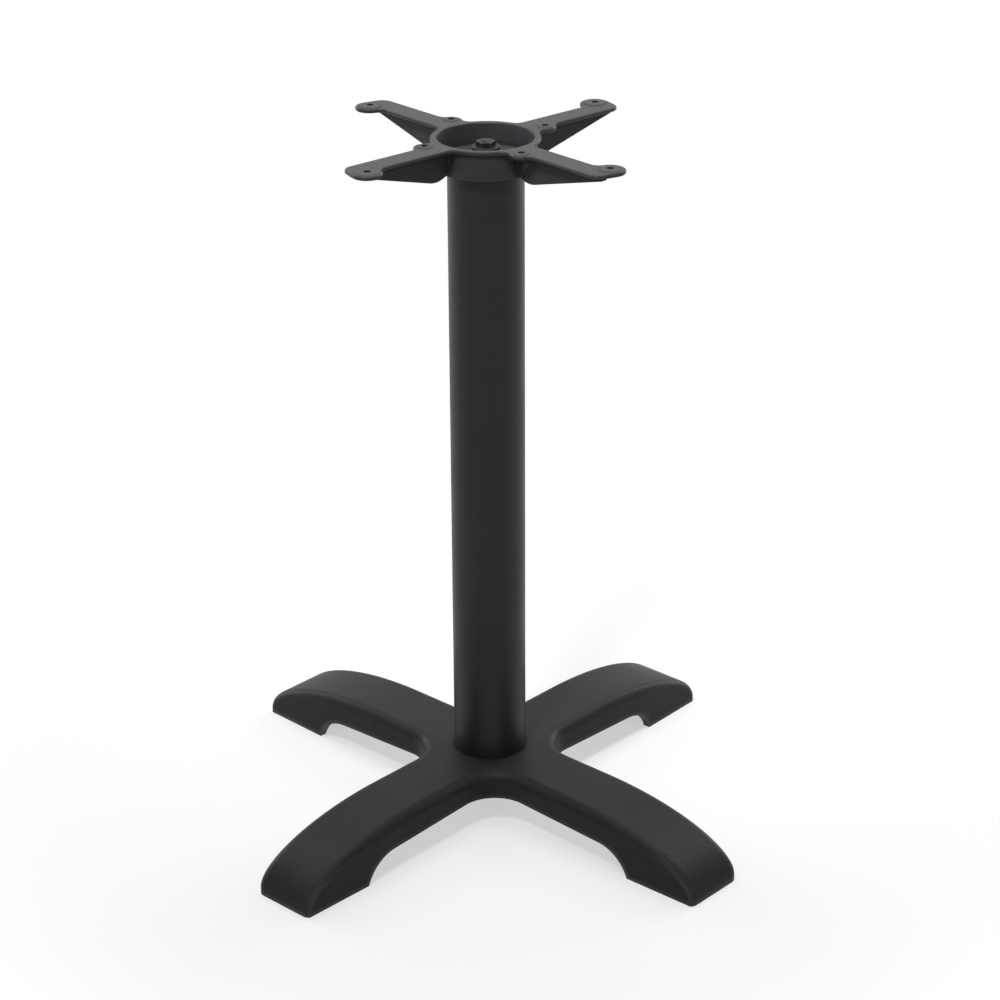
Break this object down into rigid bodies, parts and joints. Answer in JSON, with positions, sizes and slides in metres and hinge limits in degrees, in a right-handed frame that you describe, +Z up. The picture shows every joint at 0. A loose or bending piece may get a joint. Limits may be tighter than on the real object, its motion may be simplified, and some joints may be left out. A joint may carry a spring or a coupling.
{
  "type": "cast iron table base",
  "caption": "Pedestal table base: arched cross foot, round column tube and armed top spider with screw ears, clamped together by a tie rod.",
  "frame": {"origin": "on the floor, under the column's axis", "axes": "+Z up along the column; the four legs lie on the diagonals of X and Y"},
  "size_m": [0.4804, 0.4804, 0.73],
  "materials": {
    "black_cast_iron": "satin black coat over sand-cast skin",
    "black_tube": "satin black coat on drawn steel tube",
    "fastener_steel": "dull dark steel"
  },
  "bodies": {
    "root": {"foot_casting": "black_cast_iron", "column_tube": "black_tube", "spider_casting": "black_cast_iron", "tie_rod": "fastener_steel", "top_washer": "fastener_steel", "top_nut": "fastener_steel", "bottom_washer": "fastener_steel", "bottom_nut": "fastener_steel"}
  },
  "joints": []
}
